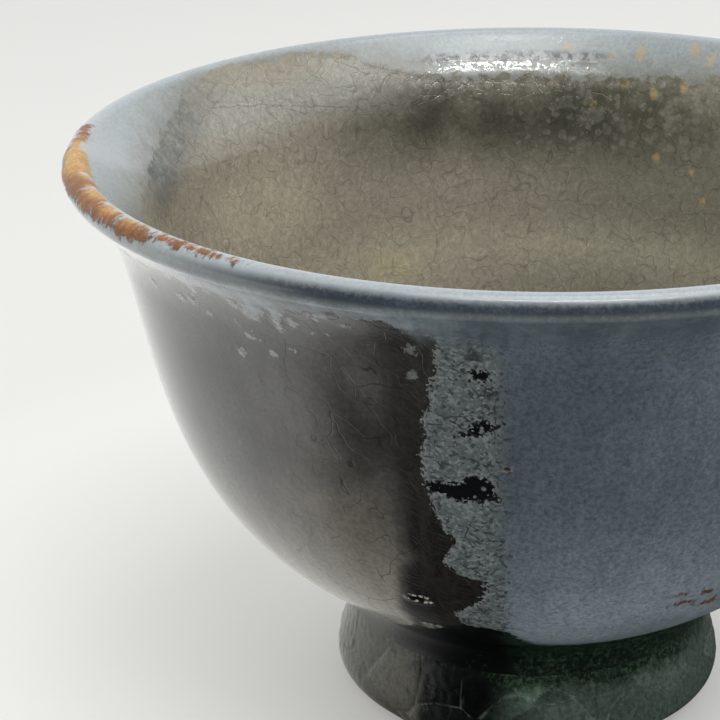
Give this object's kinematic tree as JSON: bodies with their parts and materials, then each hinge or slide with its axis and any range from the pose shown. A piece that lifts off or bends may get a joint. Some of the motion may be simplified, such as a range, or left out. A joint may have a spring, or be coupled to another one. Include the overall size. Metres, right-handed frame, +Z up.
{
  "type": "gongfu teacup",
  "caption": "Handmade stoneware gongfu teacup: deep round bowl with a flared lip on a luted foot ring, two-tone dipped glaze outside, olive crackle glaze inside.",
  "frame": {"origin": "centre of the foot ring, on the surface that the cup stands on", "axes": "+Z up along the axis of the bowl, -Y towards the front, where the two outer glazes overlap"},
  "size_m": [0.0798, 0.08, 0.0511],
  "materials": {
    "clay": "unglazed brown stoneware, matt",
    "slip": "fired joining slip, matt",
    "inner_glaze": "glossy olive-grey crackle glaze",
    "lip_glaze": "pale blue-grey glaze that breaks to rust and ochre",
    "dark_glaze": "glossy warm dark grey glaze with fine crazing",
    "blue_glaze": "satin slate-blue glaze with fine grain",
    "overlap_glaze": "teal-grey crystalline crust with black breaks",
    "pool_glaze": "black-green glassy pool",
    "foot_glaze": "green-black glassy glaze with large crackle plates"
  },
  "bodies": {
    "root": {"bowl_body": "clay", "foot_ring": "clay", "luting_slip": "slip", "inner_glaze": "inner_glaze", "lip_glaze": "lip_glaze", "dark_glaze": "dark_glaze", "blue_glaze": "blue_glaze", "overlap_glaze_front": "overlap_glaze", "overlap_glaze_rear": "overlap_glaze", "corner_glaze_pool": "pool_glaze", "foot_glaze": "foot_glaze"}
  },
  "joints": []
}
